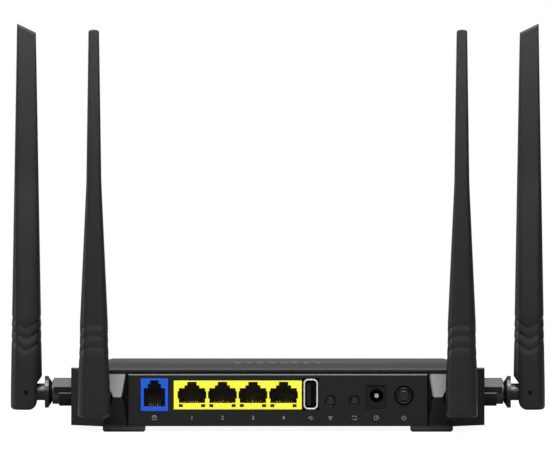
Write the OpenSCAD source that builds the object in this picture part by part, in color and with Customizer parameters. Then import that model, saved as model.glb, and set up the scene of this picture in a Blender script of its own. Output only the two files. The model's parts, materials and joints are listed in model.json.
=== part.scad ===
/* [Case] */
// Width of the case between its side walls
case_w = 189.4; // [170:0.2:240]
// Depth of the case from the port panel to the front edge
case_d = 135; // [120:1:180]
// Height of the rear edge of the case, without the feet
case_h = 25.8; // [24:0.2:32]
// Height of the front edge of the case, without the feet
front_h = 12; // [9:0.5:16]
// Wall thickness of both shells
wall = 2; // [1.4:0.1:2.6]
// Height of the antenna axes and of the line where the shells meet, above the table
split_z = 16; // [15:0.1:18]
// Width of the flat rear face between the swept corners
rear_flat_w = 160; // [158:0.5:168]
// How far the rear corners sweep forwards
sweep_d = 10; // [6:0.5:16]
// Width of the front edge of the case
front_w = 140; // [120:1:160]
// Rise of the raised hood above the rear strip
hood_rise = 1.5; // [0.5:0.1:3]
// Depth of the flat strip behind the hood
strip_d = 20; // [16:0.5:26]
// Width of the port panel
panel_w = 138.4; // [136:0.2:144]
// Thickness of the port panel
panel_t = 2; // [1.6:0.1:2.4]
// Height of the feet
foot_h = 2.5; // [1.5:0.1:5]
// Width of a foot
foot_w = 19.5; // [14:0.5:22]

/* [Fins] */
// Width of a corner fin at its base
fin_base_w = 10.7; // [8:0.1:10.8]
// Width of a corner fin along its ridge
fin_ridge_w = 4.2; // [2:0.1:6]
// How far a fin stands out from the rear face
fin_out = 6; // [3:0.5:8]

/* [Antennas] */
// Length of a blade above its pivot
blade_l = 169.2; // [120:0.2:200]
// Distance from the pivot to the outer edge of a blade
blade_outer = 7.05; // [6.4:0.05:8]
// Distance from the pivot to the inner edge of a blade
blade_inner = 7.55; // [7:0.05:8]
// Thickness of a blade at the knuckle
knuckle_t = 14.7; // [13.6:0.1:17]
// Diameter of the neck that enters the knuckle
neck_d = 7.8; // [6.4:0.02:9.4]
// Diameter of the pivot pin
pin_d = 1.6; // [1.2:0.1:2.4]
// Diameter of the swivel flange
flange_d = 14.7; // [12:0.1:16]
// Diameter of the swivel spigot
spigot_d = 9; // [7.4:0.1:10.8]
// Wall thickness of the swivel bush
bush_wall = 1.05; // [0.8:0.05:1.4]
// Wall thickness of the collar round a bush, across its flats
collar_wall = 0.7; // [0.6:0.05:1.2]
// Distance from the pivot to the case wall
pivot_gap = 21; // [18:0.5:26]
// Distance between the two rear antenna axes
rear_pitch = 168; // [166:0.5:172]
// Distance from the port panel to the side antenna axes
side_axis_y = 39; // [34:0.5:60]

/* [Ports] */
// Pitch of the network sockets
lan_pitch = 13.97; // [13.6:0.001:16.8]
// Wall at each end of the network jack block
lan_end_wall = 1.77; // [1:0.01:2.4]
// Height of the network jack block
lan_h = 13.2; // [12.6:0.1:13.6]
// Width of the telephone jack
dsl_w = 12.55; // [12:0.05:13.2]
// Height of the telephone jack
dsl_h = 15; // [14.6:0.1:15.4]
// Height of the serial port flange
usb_h = 14.5; // [14:0.1:15]
// Width of the serial port flange
usb_w = 7.07; // [6.6:0.01:7.6]
// Bore of the power socket
dc_bore_d = 6.3; // [6:0.1:6.6]
// Diameter of the power socket's centre pin
dc_pin_d = 2; // [1.6:0.05:2.5]
// Diameter of the two small buttons
small_button_d = 5; // [4:0.1:6]
// Diameter of the power button
power_button_d = 7.2; // [6:0.1:8]

/* [Inside] */
// Height of the top face of the circuit board above the table
board_top_z = 9.5; // [9.2:0.1:10.2]
// Thickness of the circuit board
board_t = 1.6; // [1:0.1:2]
// Width of the circuit board
board_w = 132; // [128:1:136]
// Depth of the circuit board
board_d = 82; // [78:1:90]
// Diameter of the case screws
screw_d = 2.6; // [2:0.1:3]

/* [Clearances] */
// Gap between the panel and the shells, and round the jacks
seam_gap = 0.2; // [0.1:0.05:0.4]
// Radial gap between a turning shaft and its bore
running_gap = 0.05; // [0.02:0.01:0.08]
// Radial gap round a button
button_gap = 0.2; // [0.1:0.05:0.4]
// Gap between the neck and the fork of a blade
fork_gap = 0.3; // [0.2:0.05:0.5]

/* [Hidden] */
PLACES = ["side_right", "side_left", "rear_right", "rear_left"];
CASE_NODES = ["top_cover", "bottom_case", "rear_panel", "feet", "case_screws", "main_board", "board_screws"];
PORT_NODES = ["dsl_jack", "dsl_contacts", "lan_jack", "lan_contacts", "usb_shell", "usb_tongue",
    "dc_jack", "dc_pin", "power_switch", "power_button", "wlan_switch", "wlan_button",
    "wps_switch", "wps_button"];
BOARD_NODES = ["status_leds", "light_guide", "processor", "heat_sink", "memory_chips", "radio_shield",
    "line_transformers", "capacitors", "inductors"];
ANTENNA_NODES = ["blade", "radiator", "pivot_pin", "swivel", "bush", "clip", "coax"];

black = [0.10, 0.10, 0.105];
dark = [0.07, 0.07, 0.075];
metal = [0.75, 0.76, 0.78];
gold = [0.85, 0.68, 0.30];

half_w = case_w / 2;
case_top_z = foot_h + case_h;
hood_top_z = case_top_z + hood_rise;
front_top_z = foot_h + front_h;
floor_z = foot_h + wall;

// Distances from the pivot towards the case, along the swivel axis
neck_start = 5.1;
flange_start = 8.66;
flange_t = 1.74;
cone_t = 1.6;
cone_end = flange_start + flange_t + cone_t;
upper_collar_start = pivot_gap - 8.3;
lower_collar_start = pivot_gap - 5.8;
bush_start = cone_end + 0.2;
bush_end = pivot_gap + 7;
collar_end = pivot_gap + 5;
clip_start = bush_end + 0.6;
clip_t = 0.8;
groove_side_gap = 0.1;
groove_d = spigot_d - 1.6;
clip_d = spigot_d + 3.4;
spigot_end = clip_start + clip_t + 1.6;
channel_d = 3;
coax_d = 1.8;
coax_insert = 4;
bush_d = spigot_d + 2 * running_gap + 2 * bush_wall;
collar_flats = bush_d + 2 * collar_wall;

// Position of the port panel, so that the whole object is centred on the origin
corner_run = (case_w - rear_flat_w) / 2;
rear_wall_y = sweep_d * (rear_pitch / 2 - rear_flat_w / 2) / corner_run;
rear_pivot_y = rear_wall_y - pivot_gap;
panel_y = -(case_d + rear_pivot_y - blade_outer) / 2;
side_pivot_x = half_w + pivot_gap;

// Sizes of the ports, and the gaps between them from left to right on the panel
lan_socket_w = 12;
lan_bulge_w = 13.1;
lan_w = 3 * lan_pitch + lan_bulge_w + 2 * lan_end_wall;
dc_w = 9.3;
dc_h = 11;
power_recess_d = power_button_d + 3.2;
dsl_to_lan = 2.6;
lan_to_usb = 0.6;
usb_to_wlan = 5.515;
button_pitch = 11;
wps_to_dc = 9.9;
dc_to_power = 12.7;
row_w = dsl_w + dsl_to_lan + lan_w + lan_to_usb + usb_w + usb_to_wlan + button_pitch + wps_to_dc
    + dc_to_power + power_recess_d / 2;
row_shift = 0.06;

// Places of the ports: X along the row, and height of the centre above the board they stand on
dsl_x = row_shift + (dsl_w - row_w) / 2;
lan_x = dsl_x + dsl_w / 2 + dsl_to_lan + lan_w / 2;
usb_x = lan_x + lan_w / 2 + lan_to_usb + usb_w / 2;
wlan_x = usb_x + usb_w / 2 + usb_to_wlan;
wps_x = wlan_x + button_pitch;
dc_x = wps_x + wps_to_dc;
power_x = dc_x + dc_to_power;
dsl_z = board_top_z + dsl_h / 2;
lan_z = board_top_z + 0.8 + lan_h / 2;
usb_z = board_top_z + 0.45 + usb_h / 2;
small_button_z = board_top_z + 4.7;
dc_z = board_top_z + 0.9 + dc_h / 2;
dc_axis = [dc_x + 0.2, dc_z + 0.6];
power_z = board_top_z + 7.2;
panel_face_y = 0.15;
panel_back_y = panel_face_y + panel_t;
panel_top_z = case_top_z - 1.7;
edge_chamfer = 0.7;
edge_chamfer_depth = 0.4;
panel_head_gap = 0.7;
small_travel = 1;
power_travel = 2.5;

case_posts = [[72, 20], [48, 100]];
screw_grip = 3;
board_posts = [[60, 26], [40, 78]];
post_r = 4;
led_count = 8;
led_pitch = 5.25;
led_y = strip_d + 11;
lens = [3, 1];

module in_case() translate([0, panel_y, 0]) children();

// A profile drawn as (Y, Z), stretched along X
module along_x(length) rotate([90, 0, 90]) linear_extrude(length, center = true) children();

// A profile drawn as (X, Z), stretched along Y from y0 to y1
module along_y(y0, y1) translate([0, y1, 0]) rotate([90, 0, 0]) linear_extrude(y1 - y0) children();

// A round bar or bore along Y
module rod_y(d, y0, y1) translate([0, y0, 0]) rotate([-90, 0, 0]) cylinder(d = d, h = y1 - y0, $fn = 48);

// A round bar or bore along X
module rod_x(d, x0, x1) translate([x0, 0, 0]) rotate([0, 90, 0]) cylinder(d = d, h = x1 - x0, $fn = 48);

module block(size, at) translate(at) translate([-size[0] / 2, 0, 0]) cube(size);

module mirrored() for (side = [0, 1]) mirror([side, 0, 0]) children();

// Local frame of one antenna: origin at the pivot, +X away from the case
module at_antenna(place) {
    side = place < 2;
    sign = place % 2 == 0 ? 1 : -1;
    spot = side ? [sign * side_pivot_x, panel_y + side_axis_y, split_z]
                : [sign * rear_pitch / 2, panel_y + rear_pivot_y, split_z];
    translate(spot) rotate([0, 0, side ? (sign > 0 ? 0 : 180) : -90]) children();
}

// ---------- Case ----------

module case_plan() {
    taper_y = case_d / 2;
    front_r = 14;
    hull() {
        polygon([[-rear_flat_w / 2, 0], [rear_flat_w / 2, 0], [half_w, sweep_d], [half_w, taper_y],
            [-half_w, taper_y], [-half_w, sweep_d]]);
        for (side = [-1, 1])
            translate([side * (front_w / 2 - front_r), case_d - front_r]) circle(front_r, $fn = 48);
    }
}

module case_side() polygon([[0, foot_h], [0, case_top_z], [strip_d, case_top_z], [case_d, front_top_z],
    [case_d, foot_h + 5], [case_d - 7, foot_h]]);

module case_front() polygon([[-half_w, foot_h], [half_w, foot_h], [half_w, case_top_z],
    [-half_w, case_top_z]]);

module hood_plan() polygon([[-half_w, strip_d], [half_w, strip_d], [half_w - 22, case_d - 9],
    [22 - half_w, case_d - 9]]);

module hood_side() polygon([[strip_d, foot_h + 6], [strip_d, case_top_z], [strip_d + 8, hood_top_z],
    [strip_d + 46, hood_top_z], [case_d - 14, front_top_z + 4.5], [case_d - 9, front_top_z - 2],
    [case_d - 9, foot_h + 6]]);

module hood_front() {
    shoulder = rear_flat_w / 2;
    slope = 4;
    polygon([[-half_w, foot_h + 6], [half_w, foot_h + 6], [half_w, case_top_z - (half_w - shoulder)],
        [shoulder, case_top_z], [shoulder - slope, hood_top_z], [slope - shoulder, hood_top_z],
        [-shoulder, case_top_z], [-half_w, case_top_z - (half_w - shoulder)]]);
}

// The closed outer form of the case, or with an inset the space inside its walls
module case_form(inset) {
    intersection() {
        linear_extrude(2 * case_top_z) offset(delta = -inset) case_plan();
        along_x(2 * case_w) offset(delta = -inset) case_side();
        along_y(-1, case_d + 1) offset(delta = -inset) case_front();
    }
    intersection() {
        linear_extrude(2 * case_top_z) offset(delta = -inset) hood_plan();
        along_x(2 * case_w) offset(delta = -inset) hood_side();
        along_y(-1, case_d + 1) offset(delta = -inset) hood_front();
    }
}

// The part of its children above or below the line where the shells meet
module upper_half() intersection() {
    children();
    translate([-case_w, -case_d, split_z]) cube([2 * case_w, 3 * case_d, 3 * case_h]);
}
module lower_half() intersection() {
    children();
    translate([-case_w, -case_d, foot_h]) cube([2 * case_w, 3 * case_d, split_z - foot_h]);
}

module shell() difference() {
    case_form(0);
    case_form(wall);
}

module panel_opening() {
    translate([-panel_w / 2, -1, foot_h - 1])
        cube([panel_w, panel_back_y + 1 + seam_gap, panel_top_z + panel_head_gap - foot_h + 1]);
}

module fins() {
    base_x = panel_w / 2 + 0.1;
    ridge_x = base_x + 1.8;
    low_z = foot_h + 1.6;
    mirrored() intersection() {
        linear_extrude(2 * case_h) polygon([[base_x, wall], [base_x, 0], [ridge_x, -fin_out],
            [ridge_x + fin_ridge_w, -fin_out], [base_x + fin_base_w, 0], [base_x + fin_base_w, wall]]);
        along_x(2 * case_w) polygon([[wall, low_z], [0, low_z], [-fin_out, split_z - 0.3],
            [-fin_out, split_z + 0.3], [0, case_top_z - 1.8], [wall, case_top_z - 1.8]]);
    }
}

// Eight-sided housings round the bushes, cut to one start distance from the pivot
module collars(start) {
    for (place = [0:3]) translate([0, -panel_y, 0]) at_antenna(place)
        translate([-collar_end, 0, 0]) rotate([0, 90, 0]) rotate([0, 0, 22.5])
            cylinder(d = collar_flats / cos(22.5), h = collar_end - start, $fn = 8);
}

module bush_bores() for (place = [0:3]) translate([0, -panel_y, 0]) at_antenna(place)
    rod_x(bush_d, -spigot_end, -neck_start);

module posts(places, r, z0, z1) mirrored() for (p = places)
    translate([p[0], p[1], z0]) cylinder(r = r, h = z1 - z0, $fn = 48);

module top_cover() color(black) in_case() difference() {
    union() {
        upper_half() shell();
        upper_half() fins();
        upper_half() collars(upper_collar_start);
        intersection() {
            posts(case_posts, post_r, split_z, 2 * case_h);
            case_form(wall / 2);
        }
    }
    panel_opening();
    bush_bores();
    posts(case_posts, screw_d / 2, 0, split_z + screw_grip);
    for (i = [0:led_count - 1]) translate([(i - (led_count - 1) / 2) * led_pitch, led_y, 0])
        translate([-lens[0] / 2, -lens[1] / 2, split_z]) cube([lens[0], lens[1], 2 * case_h]);
}

keyhole_pitch = 90;
keyhole_y = 52;
keyhole_d = 7.5;
keyhole_slot = [4, 8];

module vents() {
    rows = 9;
    slot = [24, 2];
    for (side = [-1, 1]) for (i = [0:rows - 1])
        translate([side * 22 - slot[0] / 2, 40 + 6 * i, foot_h - 1]) cube([slot[0], slot[1], wall + 2]);
}

module keyholes() for (side = [-1, 1]) translate([side * keyhole_pitch / 2, keyhole_y, foot_h - 1]) {
    cylinder(d = keyhole_d, h = wall + 2, $fn = 48);
    translate([-keyhole_slot[0] / 2, 0, 0]) cube([keyhole_slot[0], keyhole_slot[1], wall + 2]);
    translate([0, keyhole_slot[1], 0]) cylinder(d = keyhole_slot[0], h = wall + 2, $fn = 48);
}

foot_places = [[panel_w / 2 + 1.2, foot_w / 2 - 3], [front_w / 2 - 18, case_d - 24]];
foot_depth = foot_w - 6;
foot_peg_d = 5;
foot_peg_h = 1.4;

module bottom_case() color(black) in_case() difference() {
    union() {
        lower_half() shell();
        lower_half() fins();
        lower_half() collars(lower_collar_start);
        posts(case_posts, post_r, foot_h + wall / 2, split_z);
        posts(board_posts, post_r - 1, foot_h + wall / 2, board_top_z - board_t);
    }
    panel_opening();
    bush_bores();
    posts(case_posts, screw_d / 2 + running_gap, 0, split_z + 1);
    posts(case_posts, screw_d, foot_h - 1, floor_z + 2);
    posts(board_posts, screw_d / 2 - 0.2, floor_z + 0.4, split_z);
    posts(foot_places, foot_peg_d / 2, foot_h - 1, foot_h + foot_peg_h);
    keyholes();
    vents();
}

module rear_panel() color(black) in_case() {
    low_z = foot_h + 0.1;
    w = panel_w - 2 * seam_gap;
    gap = 2 * seam_gap;
    difference() {
        intersection() {
            along_x(w) polygon([[panel_face_y, low_z], [panel_back_y, low_z], [panel_back_y, panel_top_z],
                [panel_face_y + edge_chamfer_depth, panel_top_z],
                [panel_face_y, panel_top_z - edge_chamfer]]);
            linear_extrude(2 * case_h) polygon([[-w / 2, panel_back_y], [-w / 2, panel_face_y + edge_chamfer],
                [edge_chamfer - w / 2, panel_face_y], [w / 2 - edge_chamfer, panel_face_y],
                [w / 2, panel_face_y + edge_chamfer], [w / 2, panel_back_y]]);
        }
        block([dsl_w + gap, 9, dsl_h + gap], [dsl_x, -2, dsl_z - dsl_h / 2 - seam_gap]);
        block([lan_w + gap, 9, lan_h + gap], [lan_x, -2, lan_z - lan_h / 2 - seam_gap]);
        block([usb_w + gap, 9, usb_h + gap], [usb_x, -2, usb_z - usb_h / 2 - seam_gap]);
        block([dc_w, 9, dc_h], [dc_x, -2, dc_z - dc_h / 2]);
        for (x = [wlan_x, wps_x])
            translate([x, 0, small_button_z]) rod_y(small_button_d + 2 * button_gap, -2, 9);
        translate([power_x, 0, power_z]) {
            rod_y(power_button_d + 2 * button_gap, -2, 9);
            translate([0, panel_face_y - 1, 0]) rotate([-90, 0, 0])
                cylinder(d1 = power_recess_d, d2 = power_recess_d - 2.8, h = 2, $fn = 48);
        }
    }
}

module feet() color(dark) in_case() mirrored() for (p = foot_places) translate([p[0], p[1], 0]) {
    lead = 0.8;
    intersection() {
        along_y(-foot_depth / 2, foot_depth / 2) polygon([[lead - foot_w / 2, 0], [foot_w / 2 - lead, 0],
            [foot_w / 2, lead], [foot_w / 2, foot_h], [-foot_w / 2, foot_h], [-foot_w / 2, lead]]);
        along_x(foot_w) polygon([[lead - foot_depth / 2, 0], [foot_depth / 2 - lead, 0],
            [foot_depth / 2, lead], [foot_depth / 2, foot_h], [-foot_depth / 2, foot_h],
            [-foot_depth / 2, lead]]);
    }
    cylinder(d = foot_peg_d, h = foot_h + foot_peg_h, $fn = 48);
}

// A pan-headed screw pointing up, with a cross recess in its head
module screw(d, head_z, head_t, tip_z) difference() {
    union() {
        translate([0, 0, head_z]) cylinder(r = d - 0.2, h = head_t, $fn = 48);
        translate([0, 0, head_z]) cylinder(d = d, h = tip_z - head_z, $fn = 48);
    }
    for (turn = [0, 90]) rotate([0, 0, turn]) translate([-d * 0.6, -0.3, head_z - 1]) cube([d * 1.2, 0.6, 1.9]);
}

module case_screws() color(metal) in_case() mirrored() for (p = case_posts) translate([p[0], p[1], 0])
    screw(screw_d, floor_z + 0.4, 1.6, split_z + screw_grip);

module board_screws() color(metal) in_case() mirrored() for (p = board_posts) translate([p[0], p[1], 0])
    translate([0, 0, board_top_z]) mirror([0, 0, 1]) screw(screw_d - 0.4, -1.4, 1.4, board_t + 3);

module main_board() color([0.05, 0.30, 0.16]) in_case() {
    difference() {
        translate([-board_w / 2, panel_back_y + 0.6, board_top_z - board_t]) cube([board_w, board_d, board_t]);
        posts(board_posts, screw_d / 2 - 0.2, 0, 2 * case_h);
    }
}

// ---------- Ports ----------

// Outline of a plug opening: a body with a latch channel above it in two steps
module plug_opening(w, low, shoulder, step, top, step_w, latch_w) polygon([[-w / 2, low], [w / 2, low],
    [w / 2, shoulder], [step_w / 2, shoulder], [step_w / 2, step], [latch_w / 2, step], [latch_w / 2, top],
    [-latch_w / 2, top], [-latch_w / 2, step], [-step_w / 2, step], [-step_w / 2, shoulder],
    [-w / 2, shoulder]]);

dsl_depth = 15.5;
dsl_cavity = 12;
module dsl_jack() color([0.10, 0.38, 0.90]) in_case() translate([dsl_x, 0, dsl_z]) difference() {
    block([dsl_w, dsl_depth, dsl_h], [0, 0, -dsl_h / 2]);
    along_y(-1, dsl_cavity) plug_opening(9.7, -5.4, 3, 5, 6.6, 6, 3.8);
}

lan_depth = 18;
lan_cavity = 13;
module lan_sockets() for (i = [0:3]) translate([lan_x + (i - 1.5) * lan_pitch, 0, lan_z]) children();

module lan_jack() color([1.0, 0.95, 0.05]) in_case() difference() {
    block([lan_w, lan_depth, lan_h], [lan_x, 0, lan_z - lan_h / 2]);
    lan_sockets() {
        along_y(-1, lan_cavity) plug_opening(lan_socket_w, -3.7, 3.1, 4.4, 6, 6.8, 4.2);
        along_y(-1, lan_cavity) square([lan_bulge_w, 3.4], center = true);
        for (side = [-1, 1]) along_y(-1, 1.2) translate([side * 5.1, -4.9]) square([1.8, 1.4], center = true);
    }
}

// Sprung contact wires that rise towards the back of a socket
module contacts(count, pitch, low, back, rise) for (i = [0:count - 1])
    translate([(i - (count - 1) / 2) * pitch, 0, 0]) along_x(0.4)
        polygon([[1.6, low], [back, low], [back, low + rise], [back - 0.5, low + rise], [1.6, low + 0.4]]);

module dsl_contacts() color(gold) in_case() translate([dsl_x, 0, dsl_z])
    contacts(6, 1.02, -5.4, dsl_cavity, 7.5);
module lan_contacts() color(gold) in_case() lan_sockets() contacts(8, 1.02, -3.7, lan_cavity, 2.2);

usb_wall = 0.4;
usb_depth = 14;
usb_flange_t = 0.5;
module usb_shell() color(metal) in_case() translate([usb_x, 0, usb_z]) {
    tube = [usb_w - 1.37, usb_h - 1.4];
    difference() {
        union() {
            block([tube[0], usb_depth, tube[1]], [0, 0, -tube[1] / 2]);
            block([usb_w, usb_flange_t, usb_h], [0, 0, -usb_h / 2]);
        }
        block([tube[0] - 2 * usb_wall, usb_depth - usb_wall + 1, tube[1] - 2 * usb_wall],
            [0, -1, usb_wall - tube[1] / 2]);
    }
    // Foot that carries the shell on the board
    block([tube[0], usb_depth - 4, usb_z - tube[1] / 2 - board_top_z],
        [0, panel_back_y + 0.6, board_top_z - usb_z]);
}

module usb_tongue() color(dark) in_case() translate([usb_x, 0, usb_z])
    block([1.9, usb_depth - usb_wall - 1, 10.4], [-0.9, 1, -5.2]);

dc_depth = 14;
dc_bore_depth = 10;
dc_front_y = panel_face_y + 0.8;
module dc_jack() color(dark) in_case() difference() {
    block([dc_w - 0.3, dc_depth, dc_z + dc_h / 2 - 0.15 - board_top_z], [dc_x, dc_front_y, board_top_z]);
    // Clear of the panel's lower edge, which stands in front of the body
    block([dc_w + 1, panel_back_y + seam_gap, dc_z - dc_h / 2 + 0.15 - board_top_z + 1],
        [dc_x, 0, board_top_z - 1]);
    translate([dc_axis[0], 0, dc_axis[1]]) rod_y(dc_bore_d, 0, dc_front_y + dc_bore_depth);
}

module dc_pin() color(metal) in_case() translate([dc_axis[0], 0, dc_axis[1]])
    rod_y(dc_pin_d, dc_front_y + 0.8, dc_front_y + dc_bore_depth);

// ---------- Buttons ----------

button_flange_y = panel_back_y + 0.2;
button_flange_t = 0.8;
small_switch_y = 8;
small_stem_d = 3;
module small_button(x) color(dark) in_case() translate([x, 0, small_button_z]) {
    rod_y(small_button_d, -0.3, button_flange_y + 0.1);
    rod_y(small_button_d + 1.8, button_flange_y, button_flange_y + button_flange_t);
    rod_y(small_stem_d, button_flange_y + button_flange_t - 0.1, small_switch_y + 0.3);
}

module small_switch(x) color(metal) in_case() difference() {
    block([6, 3.6, small_button_z + 3 - board_top_z], [x, small_switch_y, board_top_z]);
    translate([x, 0, small_button_z])
        rod_y(small_stem_d + 2 * button_gap, 0, small_switch_y + 0.6 + small_travel);
}

power_switch_y = 9;
power_stem_w = 3.4;
module power_button() color(dark) in_case() translate([power_x, 0, power_z]) {
    rod_y(power_button_d, -1.2, button_flange_y + 0.1);
    rod_y(power_button_d + 1.6, button_flange_y, button_flange_y + button_flange_t);
    block([power_stem_w, power_switch_y + 0.5 - button_flange_y - 0.4, power_stem_w],
        [0, button_flange_y + 0.4, -power_stem_w / 2]);
}

module power_switch() color([0.16, 0.16, 0.17]) in_case() difference() {
    hole = power_stem_w + 2 * button_gap;
    block([8, 12, power_z + 4 - board_top_z], [power_x, power_switch_y, board_top_z]);
    block([hole, power_travel + 2, hole], [power_x, power_switch_y - 1, power_z - hole / 2]);
}

// ---------- Board parts ----------

module on_board(size, at) in_case() block(size, [at[0], at[1], board_top_z]);

module leds() for (i = [0:led_count - 1]) translate([(i - (led_count - 1) / 2) * led_pitch, led_y, 0]) children();

led_h = 0.8;
module status_leds() color([0.6, 0.95, 0.6]) in_case() leds()
    translate([-0.8, -0.4, board_top_z]) cube([1.6, 0.8, led_h]);

module light_guide() color([0.85, 0.88, 0.90]) in_case() {
    bar_z = board_top_z + 10;
    leds() translate([-lens[0] / 2 + 0.1, -lens[1] / 2 + 0.1, board_top_z + led_h + 0.4])
        cube([lens[0] - 0.2, lens[1] - 0.2, hood_top_z + 0.05 - board_top_z - led_h - 0.4]);
    translate([-led_pitch * led_count / 2, led_y - 1, bar_z]) cube([led_pitch * led_count, 2, 1.4]);
}

processor_at = [8, 46];
processor_size = [17, 17, 1.2];
module processor() color(dark) on_board(processor_size, processor_at);

sink_w = 28;
module heat_sink() color(metal) in_case() {
    base_z = board_top_z + processor_size[2];
    y0 = processor_at[1] + processor_size[1] / 2 - sink_w / 2;
    block([sink_w, sink_w, 1.6], [processor_at[0], y0, base_z]);
    fins = 9;
    pitch = (sink_w - 1) / (fins - 1);
    for (i = [0:fins - 1]) translate([processor_at[0] - sink_w / 2 + i * pitch, y0, base_z + 1.5])
        cube([1, sink_w, 5]);
}

module memory_chips() color(dark) {
    on_board([9, 13, 1], [-12, 62]);
    on_board([6, 5, 1.8], [32, 40]);
}

module radio_shield() color(metal) on_board([30, 24, 2.6], [-38, 46]);

module line_transformers() color(dark) {
    for (x = [dsl_x + 8.5, lan_x - 15, lan_x + 15]) on_board([12, 9, 5.5], [x, lan_depth + 1]);
}

module capacitors() color([0.30, 0.31, 0.34]) in_case()
    for (p = [[26, 22, 3], [34, 26, 4], [48, 30, 3], [44, 42, 4], [54, 46, 2.5]])
        translate([p[0], p[1], board_top_z]) cylinder(r = p[2], h = 2 * p[2] + 3, $fn = 32);

module inductors() color([0.22, 0.22, 0.23]) {
    for (p = [[48, 58], [34, 60]]) on_board([7, 7, 4], p);
}

// ---------- Antennas ----------

// Half thickness of a blade against the height above its pivot
function blade_half_t(z) = lookup(z / blade_l, [[-0.05, knuckle_t / 2], [0.05, knuckle_t / 2 - 0.1],
    [0.155, 6.5], [0.205, 6.4], [0.585, 3.45], [1, 2.4]]);
function blade_outer_u(z) = blade_outer - 3.05 * max(0, z) / blade_l;
function blade_inner_u(z) = blade_inner - 2.95 * max(0, z) / blade_l;
function squared(t) = sign(t) * pow(abs(t), 0.5);

// One cross-section of the blade, which slopes across the blade at its tip
function blade_ring(z, slope, sides) = let (a = (blade_outer_u(z) + blade_inner_u(z)) / 2,
    middle = (blade_outer_u(z) - blade_inner_u(z)) / 2, b = blade_half_t(z))
    [for (i = [0:sides - 1]) let (turn = 360 * i / sides, u = a * squared(cos(turn)))
        [middle + u, b * squared(sin(turn)), z + slope * u]];

module loft(rings) {
    sides = len(rings[0]);
    top = (len(rings) - 1) * sides;
    walls = [for (r = [0:len(rings) - 2]) for (i = [0:sides - 1])
        let (j = (i + 1) % sides, p = r * sides) each [[p + i, p + sides + i, p + j],
            [p + j, p + sides + i, p + sides + j]]];
    polyhedron([for (ring = rings) each ring], concat([[for (i = [0:sides - 1]) i]], walls,
        [[for (i = [sides - 1:-1:0]) top + i]]), convexity = 4);
}

blade_low = -8;
tip_slope = 0.49;
slot_up = neck_d / 2 + fork_gap + 0.3;
slot_w = neck_d + 2 * fork_gap;
pocket = [4.6, 1.4];

module blade() color(black) difference() {
    intersection() {
        loft([for (share = [-0.055, 0.05, 0.11, 0.155, 0.205, 0.33, 0.46, 0.585, 0.79])
            blade_ring(share * blade_l, 0, 24), blade_ring(blade_l - 2.2, tip_slope, 24)]);
        knuckle_outline();
    }
    // Fork slot, open towards the case and below
    translate([-20, -slot_w / 2, -20]) cube([20 + slot_up, slot_w, 20 + slot_up]);
    rotate([90, 0, 0]) cylinder(d = pin_d + 2 * running_gap, h = 2 * knuckle_t, center = true, $fn = 48);
    translate([-pocket[0] / 2, -pocket[1] / 2, slot_up - 1]) cube([pocket[0], pocket[1], 0.86 * blade_l]);
}

// Side view of the knuckle: chamfered above the neck and rounded below it
module knuckle_outline() {
    corner_r = 4.15;
    corner = [corner_r - neck_start, blade_low + corner_r];
    rise = 1.34;
    reach = 5;
    far = 2 * blade_l;
    rotate([90, 0, 0]) linear_extrude(2 * knuckle_t, center = true) polygon(concat(
        [[-neck_start - reach, far], [-neck_start - reach, 4.35 + rise * reach], [-neck_start, 4.35]],
        [for (turn = [180:15:270]) corner + corner_r * [cos(turn), sin(turn)]],
        [[blade_outer - 1, blade_low], [blade_outer + 0.4, blade_low + 1.4], [blade_outer + 0.4, far]]));
}

module radiator() color(gold) {
    translate([-pocket[0] / 2 + 0.2, -0.4, slot_up + 8]) cube([pocket[0] - 0.4, 0.8, 0.78 * blade_l]);
    translate([0, 0, slot_up + 1]) cylinder(d = 1, h = 8, $fn = 24);
}

module pivot_pin() color(metal) rotate([90, 0, 0])
    cylinder(d = pin_d, h = knuckle_t - 1.4, center = true, $fn = 48);

eye_r = neck_d / 2 + 0.2;
module swivel() color(black) difference() {
    union() {
        rotate([90, 0, 0]) cylinder(r = eye_r, h = neck_d - 1.2, center = true, $fn = 48);
        rod_x(neck_d, -flange_start - 0.5, -eye_r + 0.9);
        rod_x(flange_d, -flange_start - flange_t, -flange_start);
        translate([-cone_end, 0, 0]) rotate([0, 90, 0])
            cylinder(d1 = spigot_d + 0.4, d2 = flange_d - 0.4, h = cone_t, $fn = 48);
        rod_x(spigot_d, -clip_start + groove_side_gap, -cone_end + 0.5);
        rod_x(groove_d, -spigot_end, -clip_start + 1);
        rod_x(spigot_d, -spigot_end, -clip_start - clip_t - groove_side_gap);
    }
    rotate([90, 0, 0]) cylinder(d = pin_d, h = 20, center = true, $fn = 48);
    rod_x(channel_d, -spigot_end - 1, -eye_r - 1);
}

module bush() color([0.14, 0.14, 0.15]) difference() {
    rod_x(bush_d, -bush_end, -bush_start);
    rod_x(spigot_d + 2 * running_gap, -bush_end - 1, -bush_start + 1);
}

module clip() color(metal) difference() {
    rod_x(clip_d, -clip_start - clip_t, -clip_start);
    rod_x(groove_d, -clip_start - clip_t - 1, -clip_start + 1);
    translate([-clip_start - clip_t - 1, -1.4, -clip_d]) cube([clip_t + 2, 2.8, clip_d]);
}

// A tube swept along a list of points
function unit(v) = v / norm(v);
function tube_ring(p, along, r) = let (side = unit(cross(along, [0.02, 0.03, 1])), up = cross(side, along))
    [for (i = [0:7]) p + r * (cos(45 * i) * side + sin(45 * i) * up)];
function tube_rings(path, r) = [for (i = [0:len(path) - 1])
    tube_ring(path[i], unit(path[min(i + 1, len(path) - 1)] - path[max(i - 1, 0)]), r)];

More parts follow.
